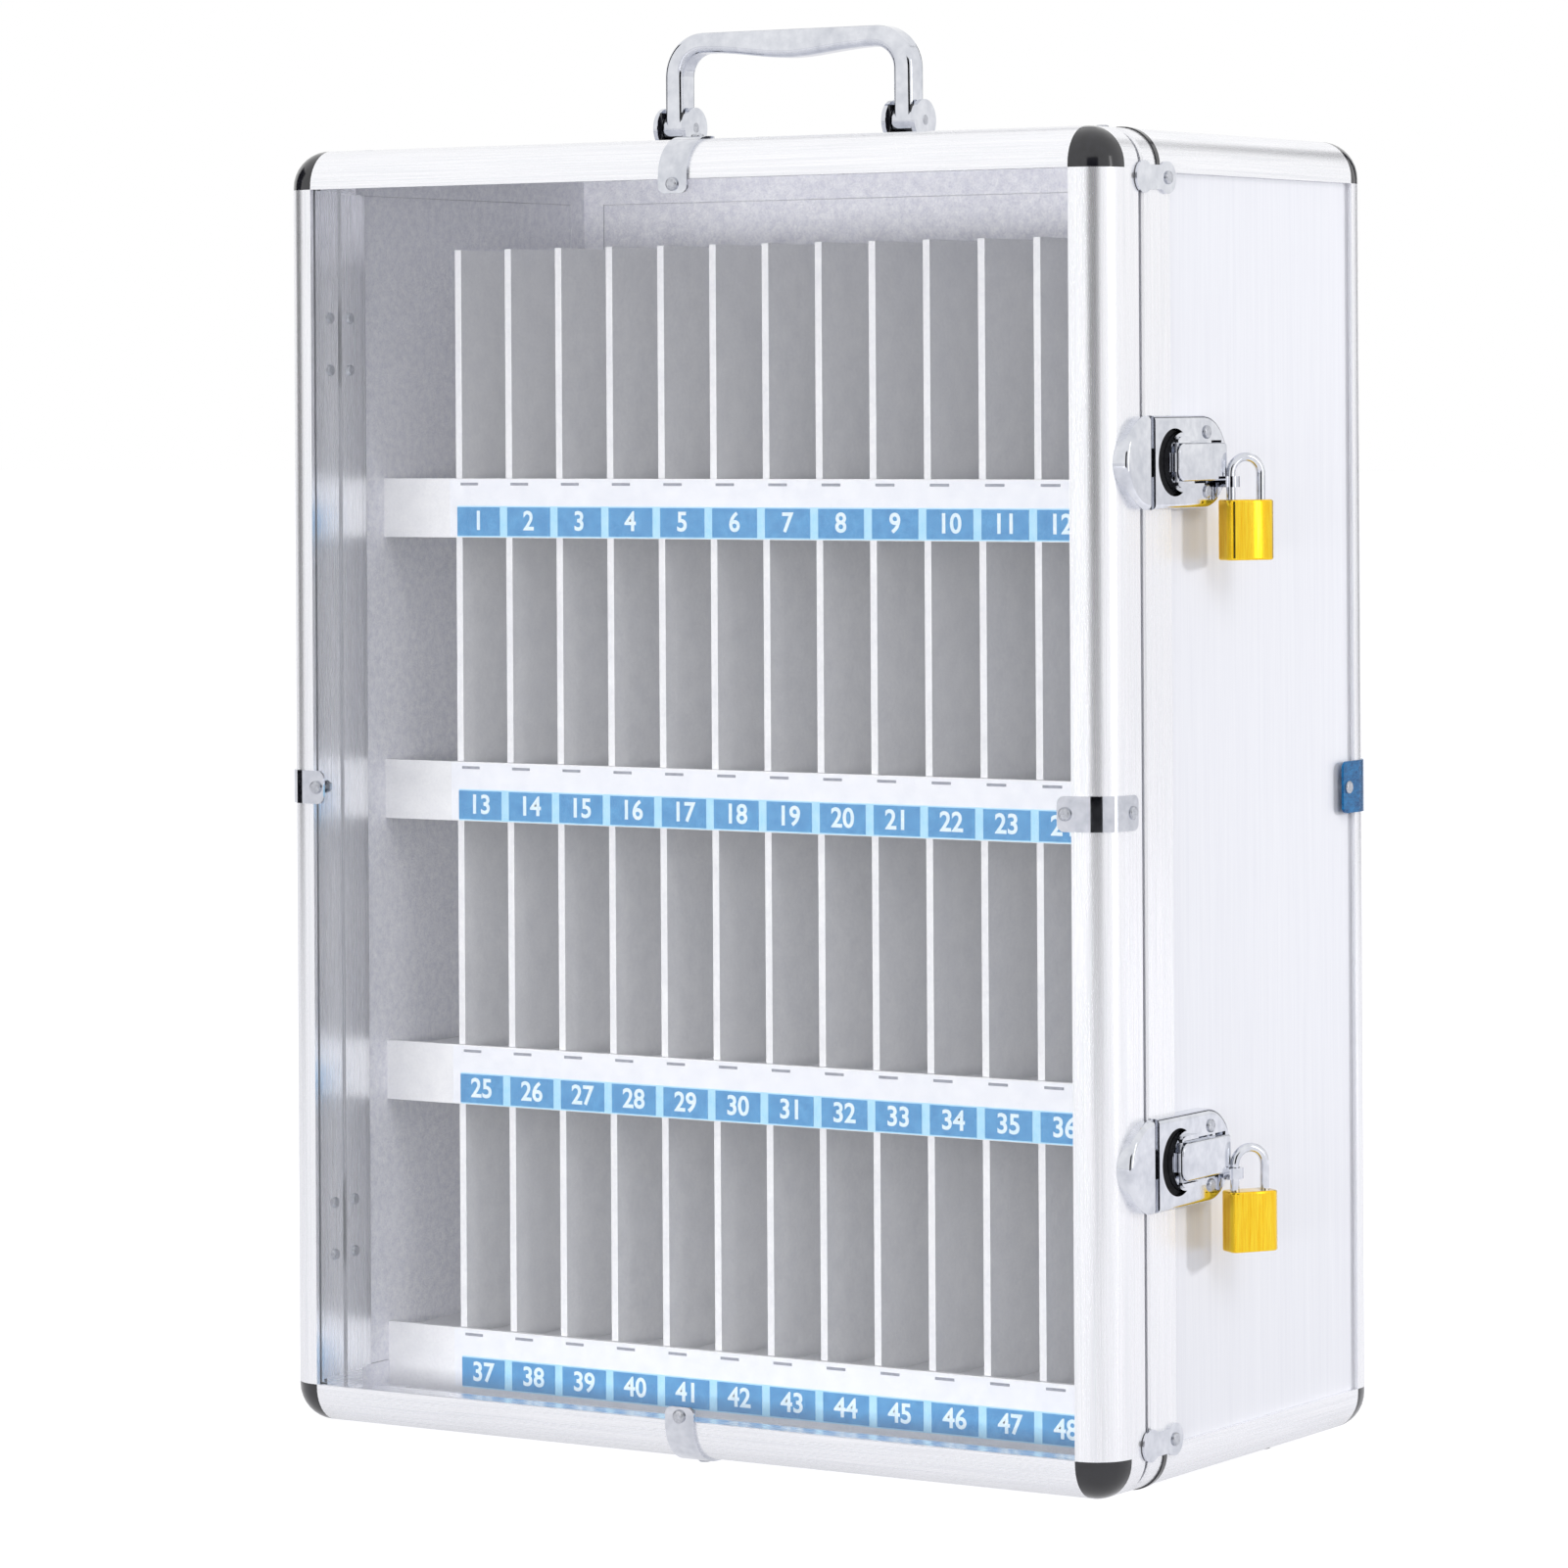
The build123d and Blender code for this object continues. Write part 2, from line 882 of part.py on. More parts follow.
# ---------------------------------------------------------------- hinges
def hinge_leaves(side):
    """Both leaves on one side of the gap; side is -1 for the door and 1 for the case."""
    step = hinge_height / knuckle_count
    own = 0 if side > 0 else 1
    room = barrel_radius + knuckle_gap
    leaves = []
    for z in hinge_heights:
        base = z - hinge_height / 2
        leaf = block(
            x_left - leaf_thick, x_left, y_gap, y_gap + side * hinge_leaf, base, base + hinge_height
        )
        for n in range(knuckle_count):
            low = base + n * step
            if n % 2 == own:
                start = (hinge_x, y_gap, low + knuckle_gap / 2)
                leaf += rod(start, UP, barrel_radius, step - knuckle_gap)
            else:
                leaf -= block(
                    x_left - through,
                    x_left + past,
                    y_gap - room,
                    y_gap + room,
                    low - knuckle_gap / 2,
                    low + step + knuckle_gap / 2,
                )
        bore = (hinge_x, y_gap, base - past)
        leaf -= rod(bore, UP, hinge_pin_radius + pin_clear, hinge_height + 2 * past)
        rivet_hole = rivet_radius + rivet_clear
        leaf = drilled(leaf, hinge_rivet_places(side), OUT_RIGHT, leaf_thick + past, rivet_hole)
        leaves.append(leaf)
    return leaves


def hinge_pins():
    start = knuckle_gap / 2 - hinge_height / 2
    length = hinge_height - knuckle_gap
    return [rod((hinge_x, y_gap, z + start), UP, hinge_pin_radius, length) for z in hinge_heights]


# ---------------------------------------------------------------- corner brackets
def corner_bracket():
    """A two-lobed plate on the case; its nose lies over the shut door's edge."""
    z = z_high - bracket_inset
    nose = y_front + bracket_nose
    rear = y_front + bracket_rivet
    inner = x_right - past
    plate = rod((x_right, nose, z), OUT_RIGHT, bracket_lobe, bracket_thick)
    plate += rod((x_right, rear, z), OUT_RIGHT, bracket_lobe, bracket_thick)
    plate += block(x_right, x_right + bracket_thick, nose, rear, z - bracket_waist, z + bracket_waist)
    over_door = y_case + gap_chamfer
    plate -= block(inner, x_right + bracket_relief, nose - wide, over_door, z - wide, z + wide)
    seam = collar_proud + bracket_clear
    low = z_high - case_face - seam
    collar_front = y_collar - bracket_clear
    plate -= block(inner, x_right + seam, collar_front, y_rails + bracket_clear, low, z_high)
    return plate - rod((inner, rear, z), OUT_RIGHT, rivet_radius + rivet_clear, through)


# ---------------------------------------------------------------- latches
def at_latch(shape, level):
    """From the latch's own frame (X out of the case, Y from the gap, Z up) to its place."""
    return Pos(x_right, y_gap, latch_heights[level]) * shape


def in_face(face, x, depth):
    """A face drawn in (Y, Z), pushed out along X from a level."""
    plane = Plane(origin=(x, 0, 0), x_dir=(0, 1, 0), z_dir=(1, 0, 0))
    return extrude(plane * face, amount=depth)


def dish(sunk):
    """The full oval of the latch, with its outer rim rounded."""
    length = dish_front + dish_back
    oval = Pos((dish_back - dish_front) / 2, 0) * SlotOverall(length, dish_height)
    body = in_face(oval, -sunk, dish_thick + sunk)
    return fillet(body.faces().sort_by(Axis.X)[-1].edges(), dish_round)


def hook_channel(front, back):
    half = hook_width / 2 + hook_clear
    low = hook_floor - hook_clear
    high = hook_floor + hook_thick + hook_clear
    return block(low, high, front, back, -half, half)


def latch_catch():
    """The front end of the oval, on the door, hollow for the hook."""
    back = -door_gap / 2 - latch_gap / 4
    catch = dish(edge_radius) & block(-edge_radius, wide, -wide, back, -wide, wide)
    profile = rounded_at(rectangle(0, door_face, 0, door_depth), (0, 0), edge_radius)
    place = (0, -door_gap / 2 - door_depth, 0)
    catch -= bar(profile, place, OUT_LEFT, TO_BACK, 2 * dish_height)
    catch -= hook_channel(-hook_front - hook_travel - hook_clear, 0)
    for side in (-1, 1):
        start = (-past, -catch_screw_front, side * catch_screw_side)
        catch -= rod(start, OUT_RIGHT, screw_radius, catch_screw_depth + past)
    return catch


def catch_screw(place):
    """A screw from inside the door tube into the catch."""
    shank = rod(place, OUT_RIGHT, screw_radius, door_wall + catch_screw_depth)
    return shank + rod(place, OUT_LEFT, screw_head_radius, catch_screw_head)


def lever_face(grow, back, round_front, round_back):
    """The lever's outline in (Y, Z), grown all round, with its corners rounded."""
    half = lever_width / 2 + grow
    front = lever_front - grow
    face = rectangle(front, back, -half, half)
    face = rounded_at(face, (front, -half), round_front)
    face = rounded_at(face, (front, half), round_front)
    if round_back:
        face = rounded_at(face, (back, -half), round_back)
        face = rounded_at(face, (back, half), round_back)
    return face


pivot_y = lever_front + lever_pivot


def recess_face(grow):
    """The crescent in front of the lever."""
    crescent = Pos(recess_centre, 0) * Circle(recess_radius - grow)
    return crescent - Pos(hub_centre, 0) * Circle(hub_radius + grow)


def latch_base():
    """The rest of the oval, on the case, with the lever's well and its cradle."""
    front = door_gap / 2 + latch_gap / 4
    base = dish(panel_out) & block(-panel_out, wide, front, wide, -wide, wide)
    post_end = door_gap / 2 + post_depth + panel_clear / 2
    base -= block(-wide, 0, -wide, post_end, -wide, wide)
    base -= in_face(recess_face(0), recess_floor, wide)
    base -= in_face(lever_face(cradle_gap, lever_back + cradle_gap, well_round, 0), well_floor, wide)
    cradle_back = lever_front + cradle_length
    outer_round = lever_round + cradle_gap + cradle_wall
    wall = lever_face(cradle_gap + cradle_wall, cradle_back, outer_round, 0)
    wall -= lever_face(cradle_gap, cradle_back + past, well_round, 0)
    wall -= recess_face(0)
    cradle = in_face(wall, well_floor, cradle_top - well_floor)
    base += cradle - block(cradle_step, wide, -wide, cradle_step_back, -wide, wide)
    base -= hook_channel(-wide, hook_back + hook_clear)
    half = lever_width / 2 + cradle_gap + cradle_wall + past
    base -= rod((lever_pin_height, pivot_y, -half), UP, lever_pin_radius, 2 * half)
    for side in (-1, 1):
        start = (-panel_out - past, latch_rivet_back, side * latch_rivet_side)
        base -= rod(start, OUT_RIGHT, rivet_radius + rivet_clear, through)
    return base


def latch_guide():
    """A black crescent that covers the hook."""
    return in_face(recess_face(guide_clear), recess_floor, guide_thick)


def pivot_pin():
    half = lever_width / 2 + cradle_gap + cradle_wall
    return rod((lever_pin_height, pivot_y, -half), UP, lever_pin_radius, 2 * half)


def latch_lever():
    """A rounded plate with side flanges, a barrel at its front and a lug at its rear."""
    low = lever_top - lever_thick
    plate = in_face(lever_face(0, lever_back, lever_round, lever_back_round), low, lever_thick)
    plate = fillet(plate.faces().sort_by(Axis.X)[-1].edges(), lever_soft)
    half = lever_width / 2
    flange_low = well_floor + flange_lift
    flange_front = lever_front + lever_round
    flange_back = lever_back - flange_setback
    for side in (-1, 1):
        inner = side * (half - lever_flange)
        plate += block(flange_low, low, flange_front, flange_back, inner, side * half)
    barrel = (lever_pin_height, pivot_y, -lever_barrel_length / 2)
    plate += rod(barrel, UP, lever_barrel_radius, lever_barrel_length)
    lug_low = -lug_drop - lug_thick
    plate += rod((lug_out, lug_back, lug_low), UP, lug_radius, lug_thick)
    plate += block(low, lug_out + lug_web, lever_back - lug_root, lug_back, lug_low, -lug_drop)
    plate -= rod((lug_out, lug_back, lug_low), UP, shackle_radius + lug_play, lug_thick)
    bore = (lever_pin_height, pivot_y, -half - past)
    return plate - rod(bore, UP, lever_pin_radius + pin_clear, lever_width + 2 * past)


def draw_hook():
    """A flat hook that runs from under the lever into the catch."""
    half = hook_width / 2
    tip = block(hook_floor, hook_floor + hook_thick, -hook_front, hook_back, -half, half)
    tips = [e for e in tip.edges() if abs(e.length - hook_thick) < 0.01 and e.center().Y < 0]
    return fillet(tips, hook_round)


# ---------------------------------------------------------------- padlocks
def at_padlock(shape):
    """From the padlock's own frame, with X across it and Z up from its top, to the latch's.

    Its heel leg, at minus one bow radius, stands in the lever's lug.
    """
    turn = radians(lock_turn)
    x = lug_out + shackle_bow * sin(turn)
    y = lug_back + shackle_bow * cos(turn)
    return Pos(x, y, -lock_drop) * Rot(0, 0, 90 - lock_turn) * shape


def shackle():
    """A steel bow with a long heel leg and a short toe leg."""
    heel = rod((-shackle_bow, 0, -heel_depth), UP, shackle_radius, heel_depth + shackle_rise)
    toe = rod((shackle_bow, 0, -toe_depth), UP, shackle_radius, toe_depth + shackle_rise)
    ring = Pos(0, 0, shackle_rise) * Rot(90, 0, 0) * Torus(shackle_bow, shackle_radius)
    bow = ring & block(-wide, wide, -wide, wide, shackle_rise, wide)
    return at_padlock(heel + toe + bow)


def padlock_body():
    half = lock_width / 2
    body = block(-half, half, -lock_thick / 2, lock_thick / 2, -lock_height, 0)
    body = fillet(body.edges().filter_by(Axis.Z), lock_round)
    levels = body.faces().sort_by(Axis.Z)
    body = fillet(levels[-1].edges() + levels[0].edges(), lock_edge)
    bore = shackle_radius + shackle_clear
    body -= rod((-shackle_bow, 0, past), DOWN, bore, heel_depth + bore_end + past)
    body -= rod((shackle_bow, 0, past), DOWN, bore, toe_depth + bore_end + past)
    seat = (0, 0, -lock_height - past)
    body -= rod(seat, UP, plug_radius + plug_clear, plug_length + past + plug_end)
    return at_padlock(body)


def key_plug():
    plug = rod((0, 0, -lock_height), UP, plug_radius, plug_length)
    key = keyway_length / 2
    slit = keyway_width / 2
    top = keyway_depth - lock_height
    plug -= block(-key, key, -slit, slit, -lock_height - past, top)
    return at_padlock(plug)


# ---------------------------------------------------------------- handle
def handle_grip():
    """A cast handle: two legs on pins, and a grip that is thicker in the middle."""
    outer = (handle_span + leg_width) / 2
    inner = (handle_span - leg_width) / 2
    top = handle_rise
    bend_in = bend_radius - grip_end
    under = Line((inner, 0), (inner, top - bend_radius))
    under_bend = RadiusArc((inner, top - bend_radius), (inner - bend_in, top - grip_end), -bend_in)
    belly = Spline(
        (inner - bend_in, top - grip_end),
        (0, top - grip_middle),
        (bend_in - inner, top - grip_end),
        tangents=[(-1, 0), (-1, 0)],
    )
    other_bend = RadiusArc((bend_in - inner, top - grip_end), (-inner, top - bend_radius), -bend_in)
    inner_leg = Line((-inner, top - bend_radius), (-inner, 0))
    rest = Polyline((-inner, 0), (-outer, 0), (-outer, top), (outer, top), (outer, 0), (inner, 0))
    face = make_face([under, under_bend, belly, other_bend, inner_leg, *rest.edges()])
    face = rounded_at(face, (-outer, top), bend_radius)
    face = rounded_at(face, (outer, top), bend_radius)
    plane = Plane(origin=(0, handle_y, handle_z), x_dir=(1, 0, 0), z_dir=TO_FRONT)
    grip = extrude(plane * face, amount=handle_deep / 2, both=True)
    soft = [e for e in grip.edges() if abs(e.center().Z - handle_z) > 0.01]
    soft = [e for e in soft if abs(e.center().Y - handle_y) > 0.01]
    grip = fillet(soft, handle_soft)
    for side in (-1, 1):
        start = (side * handle_span / 2 - leg_width / 2, handle_y, handle_z)
        grip += rod(start, OUT_RIGHT, handle_deep / 2, leg_width)
    bore = handle_pin_radius + pin_clear
    return grip - rod((-handle_span, handle_y, handle_z), OUT_RIGHT, bore, 2 * handle_span)


ear_inner = leg_width / 2 + stop_gap + stop_thick


def handle_bracket(side):
    """A foot plate with two ears, one each side of the leg."""
    x = side * handle_span / 2
    half = foot_plate_length / 2
    width = foot_plate_width / 2
    plate_top = top_face + foot_plate_thick
    plate = block(x - half, x + half, handle_y - width, handle_y + width, top_face, plate_top)
    plate = fillet(plate.edges().filter_by(Axis.Z), foot_plate_round)
    for turn in (-1, 1):
        near = x + turn * ear_inner
        far = x + turn * (ear_inner + ear_thick)
        base = ear_base / 2
        ear = block(near, far, handle_y - base, handle_y + base, plate_top, handle_z)
        ear += rod((min(near, far), handle_y, handle_z), OUT_RIGHT, ear_radius, ear_thick)
        plate += ear
    start = (x - half, handle_y, handle_z)
    plate -= rod(start, OUT_RIGHT, handle_pin_radius, 2 * half)
    return drilled(plate, handle_rivet_places(), DOWN, foot_plate_thick + past, rivet_radius + rivet_clear)


def handle_stop(side):
    """A black pad between the ears: under the leg and up its two sides."""
    x = side * handle_span / 2
    width = ear_base / 2
    low = top_face + foot_plate_thick
    high = handle_z + stop_rise
    pad = block(x - ear_inner, x + ear_inner, handle_y - width, handle_y + width, low, high)
    gap = leg_width / 2 + stop_gap
    pad -= block(x - gap, x + gap, handle_y - wide, handle_y + wide, low + stop_thick, high + past)
    bore = handle_pin_radius + pin_clear
    return pad - rod((x - wide, handle_y, handle_z), OUT_RIGHT, bore, 2 * wide)


def handle_pin(side):
    half = ear_inner + ear_thick
    start = (side * handle_span / 2 - half, handle_y, handle_z)
    return rod(start, OUT_RIGHT, handle_pin_radius, 2 * half)


# ---------------------------------------------------------------- fasteners
def case_rivets():
    rivets = []
    for seat in hinge_rivet_places(1):
        rivets.append(rivet(seat, OUT_LEFT, leaf_thick + door_wall))
    for seat in latch_rivet_places():
        rivets.append(rivet(seat, OUT_RIGHT, dish_thick + panel_in))
    for seat in handle_rivet_places():
        rivets.append(rivet(seat, UP, foot_plate_thick + panel_thick))
    right, left = rear_strap_rivet_places()
    rivets.append(rivet(right, OUT_RIGHT, strap_thick + panel_in))
    rivets.append(rivet(left, OUT_LEFT, strap_thick + panel_in))
    for seat, outward in rail_rivet_seats():
        rivets.append(rivet(seat, outward, tube_skin))
    for seat in bracket_rivet_places():
        rivets.append(rivet(seat, OUT_RIGHT, bracket_thick + lip_out, 0))
    return rivets


def door_fasteners():
    made = []
    for seat in hinge_rivet_places(-1):
        made.append(rivet(seat, OUT_LEFT, leaf_thick + door_wall))
    for place in strap_screw_places():
        made.append(strap_screw(place))
    for seat, outward in strap_rivet_seats():
        made.append(rivet(seat, outward, strap_thick + tube_skin))
    for place in catch_screw_places():
        made.append(catch_screw(place))
    return made


# ---------------------------------------------------------------- the nodes
def build_nodes():
    nodes = {}
    nodes["side_panel_left"] = side_panel_left()
    nodes["side_panel_right"] = side_panel_right()
    nodes["back_panel"] = back_panel()
    nodes["top_panel"] = top_panel()
    nodes["bottom_panel"] = mirror_z(flat_panel())
    nodes["front_post_left"], nodes["front_post_right"] = front_posts()
    nodes["front_rail_top"], nodes["front_rail_bottom"] = front_rails()
    nodes["rear_post_left"], nodes["rear_post_right"] = rear_posts()
    nodes["rear_rail_top"], nodes["rear_rail_bottom"] = rear_rails()
    nodes["side_rails"] = group(side_rails())
    nodes["front_corners"] = group(four_corners(case_corner_ring()))
    nodes["front_corner_collars"] = group(four_corners(case_collar()))
    nodes["rear_corner_caps"] = group(four_corners(rear_corner_cap()))
    nodes["corner_brackets"] = group([corner_bracket(), mirror_z(corner_bracket())])
    nodes["rear_straps"] = group(rear_straps())
    nodes["feet"] = group(feet())
    nodes["back_liner"] = back_liner()
    nodes["liners"] = group(liners())
    nodes["shelves"] = group([shelf(row) for row in range(row_count)])
    for row in range(row_count):
        nodes[f"dividers_{row + 1}"] = group(dividers(row))
    nodes["label_rails"] = group([label_rail(row) for row in range(row_count)])
    nodes["label_strips"] = group([label_strip(row) for row in range(row_count)])
    nodes["number_tags"] = group(number_tags())
    nodes["case_hinge_leaves"] = group(hinge_leaves(1))
    nodes["hinge_pins"] = group(hinge_pins())
    nodes["case_rivets"] = group(case_rivets())
    nodes["handle_brackets"] = group([handle_bracket(-1), handle_bracket(1)])
    nodes["handle_stops"] = group([handle_stop(-1), handle_stop(1)])
    nodes["handle_grip"] = handle_grip()

    nodes["door_stile_left"], nodes["door_stile_right"] = door_stiles()
    nodes["door_rail_top"], nodes["door_rail_bottom"] = door_rails()
    nodes["door_corner_caps"] = group(four_corners(door_corner_cap()))
    nodes["door_corner_sleeves"] = group(four_corners(door_corner_sleeve()))
    nodes["door_window"] = door_window()
    nodes["door_straps"] = group(door_straps())
    nodes["door_hinge_leaves"] = group(hinge_leaves(-1))
    nodes["door_fasteners"] = group(door_fasteners())

    levels = tuple(latch_heights)
    nodes["latch_catches"] = group([at_latch(latch_catch(), level) for level in levels])
    nodes["latch_bases"] = group([at_latch(latch_base(), level) for level in levels])
    nodes["latch_guides"] = group([at_latch(latch_guide(), level) for level in levels])
    pins = [at_latch(pivot_pin(), level) for level in levels]
    nodes["pivot_pins"] = group([*pins, handle_pin(-1), handle_pin(1)])
    for level in levels:
        nodes[f"latch_lever_{level}"] = at_latch(latch_lever(), level)
        nodes[f"draw_hook_{level}"] = at_latch(draw_hook(), level)
        nodes[f"padlock_shackle_{level}"] = at_latch(shackle(), level)
        nodes[f"padlock_body_{level}"] = at_latch(padlock_body(), level)
        nodes[f"key_plug_{level}"] = at_latch(key_plug(), level)
    return nodes


os.makedirs("parts", exist_ok=True)
for name, shape in build_nodes().items():
    export_step(shape, f"parts/{name}.step")
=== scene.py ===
# %% [markdown]
# # A phone locker box
# The object is an upright case in aluminium edging, with a clear hinged door, four shelves
# of numbered slots, two latches with small padlocks and a folding handle. Its solids come
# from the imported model, in metres, and this lesson gives them their finishes. It then adds
# the printing on the labels, which is too thin to be worth a solid.

import math

import bmesh
import bpy
from mathutils import Matrix, Vector


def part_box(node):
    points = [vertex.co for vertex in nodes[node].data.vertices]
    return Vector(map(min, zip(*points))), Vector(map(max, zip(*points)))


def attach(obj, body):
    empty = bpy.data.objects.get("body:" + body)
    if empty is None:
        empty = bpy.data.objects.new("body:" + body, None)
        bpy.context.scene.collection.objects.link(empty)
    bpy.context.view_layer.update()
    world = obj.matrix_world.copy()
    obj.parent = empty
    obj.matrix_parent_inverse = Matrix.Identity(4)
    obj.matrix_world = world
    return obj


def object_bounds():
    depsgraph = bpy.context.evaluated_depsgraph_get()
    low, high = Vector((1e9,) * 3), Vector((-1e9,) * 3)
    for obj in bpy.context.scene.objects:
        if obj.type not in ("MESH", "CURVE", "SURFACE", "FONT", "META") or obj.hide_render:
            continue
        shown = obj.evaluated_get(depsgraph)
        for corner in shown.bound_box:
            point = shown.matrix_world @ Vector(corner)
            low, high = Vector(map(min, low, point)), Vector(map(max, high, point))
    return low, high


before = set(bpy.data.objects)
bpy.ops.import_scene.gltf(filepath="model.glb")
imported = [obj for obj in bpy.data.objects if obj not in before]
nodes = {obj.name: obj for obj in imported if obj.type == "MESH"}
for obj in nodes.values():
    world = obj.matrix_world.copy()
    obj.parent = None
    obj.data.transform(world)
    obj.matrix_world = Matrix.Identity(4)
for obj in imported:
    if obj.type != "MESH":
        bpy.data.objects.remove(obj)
cad_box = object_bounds()
MM = 0.001

# %% [markdown]
# Colours are written as sRGB hex values, as a paint chart gives them. A shader works with
# linear light, so one function turns the one into the other.


# %% Turn a hex colour into linear light
def srgb(code):
    """A hex colour such as "#D8DADF" as four linear numbers."""
    channels = [int(code[i : i + 2], 16) / 255 for i in (1, 3, 5)]
    linear = [c / 12.92 if c <= 0.04045 else ((c + 0.055) / 1.055) ** 2.4 for c in channels]
    return (*linear, 1.0)


print("middle grey is", round(srgb("#808080")[0], 3), "in linear light")

# %% [markdown]
# Every material is a small graph of nodes. One function adds a node, sets it and joins it
# up: an input that is given a socket is linked, and any other value is set on the input.


# %% Add a node with its settings and links
def feed(tree, node, inputs):
    """Links or sets the inputs of a node, by name or by number."""
    for key, value in inputs.items():
        if isinstance(value, bpy.types.NodeSocket):
            tree.links.new(value, node.inputs[key])
        else:
            node.inputs[key].default_value = value


def add(tree, kind, inputs=None, **settings):
    """Adds a node to a tree and returns it."""
    node = tree.nodes.new(kind)
    for name, value in settings.items():
        setattr(node, name, value)
    feed(tree, node, inputs or {})
    return node


# %% [markdown]
# Most finishes on this object are one stuff whose tone, gloss and height wander a little
# from place to place. One function makes such a material from sizes in millimetres: the
# width of a blotch, how far it is drawn out along each axis, and a fine grain on top.
# Object coordinates are used because they stay with the piece when the door opens.

# %% A material whose tone and gloss wander
MIX_A = 6
MIX_B = 7
MIX_RESULT = 2
NOISE_LOW = 0.7
NOISE_HIGH = 1.3
GRAIN_STRENGTH = 0.6


def finish(name, dark, light, blotch, stretch, rough, grain, relief, fixed=None):
    """A material between two colours, with gloss that follows the tone.

    blotch, grain and relief are in millimetres. stretch draws the pattern out along X, Y
    and Z, rough is the roughness of the dark and the light tone, and fixed holds values
    for the shader that are the same everywhere.
    """
    material = bpy.data.materials.new(name)
    material.use_nodes = True
    tree = material.node_tree
    shader = tree.nodes["Principled BSDF"]
    place = add(tree, "ShaderNodeTexCoord").outputs["Object"]
    spread = [1 / (blotch * MM * s) for s in stretch]
    wide = add(tree, "ShaderNodeMapping", {"Vector": place, "Scale": spread})
    broad = add(
        tree, "ShaderNodeTexNoise", {"Vector": wide.outputs[0], "Scale": 1.0, "Detail": 3.0}
    )
    spread = [1 / (grain * MM * s) for s in stretch]
    narrow = add(tree, "ShaderNodeMapping", {"Vector": place, "Scale": spread})
    fine = add(
        tree, "ShaderNodeTexNoise", {"Vector": narrow.outputs[0], "Scale": 1.0, "Detail": 2.0}
    )
    both = add(
        tree, "ShaderNodeMath", {0: broad.outputs[0], 1: fine.outputs[0]}, operation="ADD"
    )
    tone = add(
        tree,
        "ShaderNodeMapRange",
        {"Value": both.outputs[0], "From Min": NOISE_LOW, "From Max": NOISE_HIGH},
    )
    colour = add(
        tree,
        "ShaderNodeMix",
        {0: tone.outputs[0], MIX_A: srgb(dark), MIX_B: srgb(light)},
        data_type="RGBA",
    )
    gloss = add(
        tree,
        "ShaderNodeMapRange",
        {"Value": tone.outputs[0], "To Min": rough[0], "To Max": rough[1]},
    )
    bump = add(
        tree,
        "ShaderNodeBump",
        {"Height": fine.outputs[0], "Strength": GRAIN_STRENGTH, "Distance": relief * MM},
    )
    feed(
        tree,
        shader,
        {
            "Base Color": colour.outputs[MIX_RESULT],
            "Roughness": gloss.outputs[0],
            "Normal": bump.outputs[0],
            **(fixed or {}),
        },
    )
    return material


def dress(material, *names):
    """Gives a material to nodes of the model, by name."""
    for name in names:
        slots = nodes[name].data.materials
        slots.clear()
        slots.append(material)
    print(f"{material.name}: {len(names)} nodes")


# %% [markdown]
# ## The aluminium edging
# The frame is extruded aluminium, clear anodised after a light brushing along its length.
# That leaves a satin metal with faint streaks which run the way the bar was drawn, so
# there is one material for each direction. The streaks are between 0.5 and 1 mm wide,
# which is wider than real brush marks, because those are too fine to show.

# %% Anodised aluminium, brushed along each axis
SATIN = {"Metallic": 0.8}
ANODISED = ("#EEEFF3", "#FAFAFD")
along_x = finish(
    "anodised_along_x", *ANODISED, 0.9, (90, 1, 1), (0.3, 0.24), 0.5, 0.0012, SATIN
)
along_y = finish(
    "anodised_along_y", *ANODISED, 0.9, (1, 90, 1), (0.3, 0.24), 0.5, 0.0012, SATIN
)
along_z = finish(
    "anodised_along_z", *ANODISED, 0.9, (1, 1, 90), (0.3, 0.24), 0.5, 0.0012, SATIN
)
dress(along_x, "front_rail_top", "front_rail_bottom", "rear_rail_top", "rear_rail_bottom")
dress(along_x, "door_rail_top", "door_rail_bottom")
dress(along_y, "side_rails", "front_corners", "door_corner_sleeves")
dress(along_z, "front_post_left", "front_post_right", "rear_post_left", "rear_post_right")
dress(along_z, "door_stile_left", "door_stile_right")

# %% [markdown]
# ## The boards
# The sides, top, back and bottom are thin board faced with a silver decorative laminate.
# It is a printed plastic, nearly smooth, with a faint upright grain and a soft sheen.

# %% Silver laminate
silver = finish(
    "silver_laminate",
    "#E8E9F0",
    "#EEEFF5",
    2.5,
    (1, 1, 60),
    (0.42, 0.36),
    0.7,
    0.004,
    {"Metallic": 0.25, "Coat Weight": 0.15, "Coat Roughness": 0.3},
)
dress(silver, "side_panel_left", "side_panel_right", "back_panel", "top_panel", "bottom_panel")

# %% [markdown]
# Inside, the boards are lined with a thin grey-lilac felt. Felt is matted fibre with no
# weave, so it shows soft blotches a few millimetres wide, a fine fuzz and a little sheen.

# %% Felt lining
felt = finish(
    "lilac_felt",
    "#DCDCE8",
    "#FAFAFE",
    3.0,
    (1, 1, 1),
    (0.95, 0.85),
    0.8,
    0.25,
    {"Sheen Weight": 0.25, "Sheen Roughness": 0.5},
)
dress(felt, "back_liner", "liners")

# %% [markdown]
# Shelves, dividers and label rails are cut from white foamed PVC sheet. Its skin is
# matt and even, with a slight orange-peel surface.

# %% Foamed PVC sheet
board = finish("white_foamed_pvc", "#E9E9ED", "#F6F6F8", 9.0, (1, 1, 1), (0.55, 0.48), 1.2, 0.03)
dress(board, "shelves", "dividers_1", "dividers_2", "dividers_3", "dividers_4", "label_rails")

# %% [markdown]
# ## The clear door
# The sheet is cast acrylic, 3 mm thick. Nearly all light goes straight through it, and a
# faint veil of reflection is what shows that it is there. A low alpha gives both: the
# shelves behind it keep their light, and the veil keeps the sheet's own gloss.

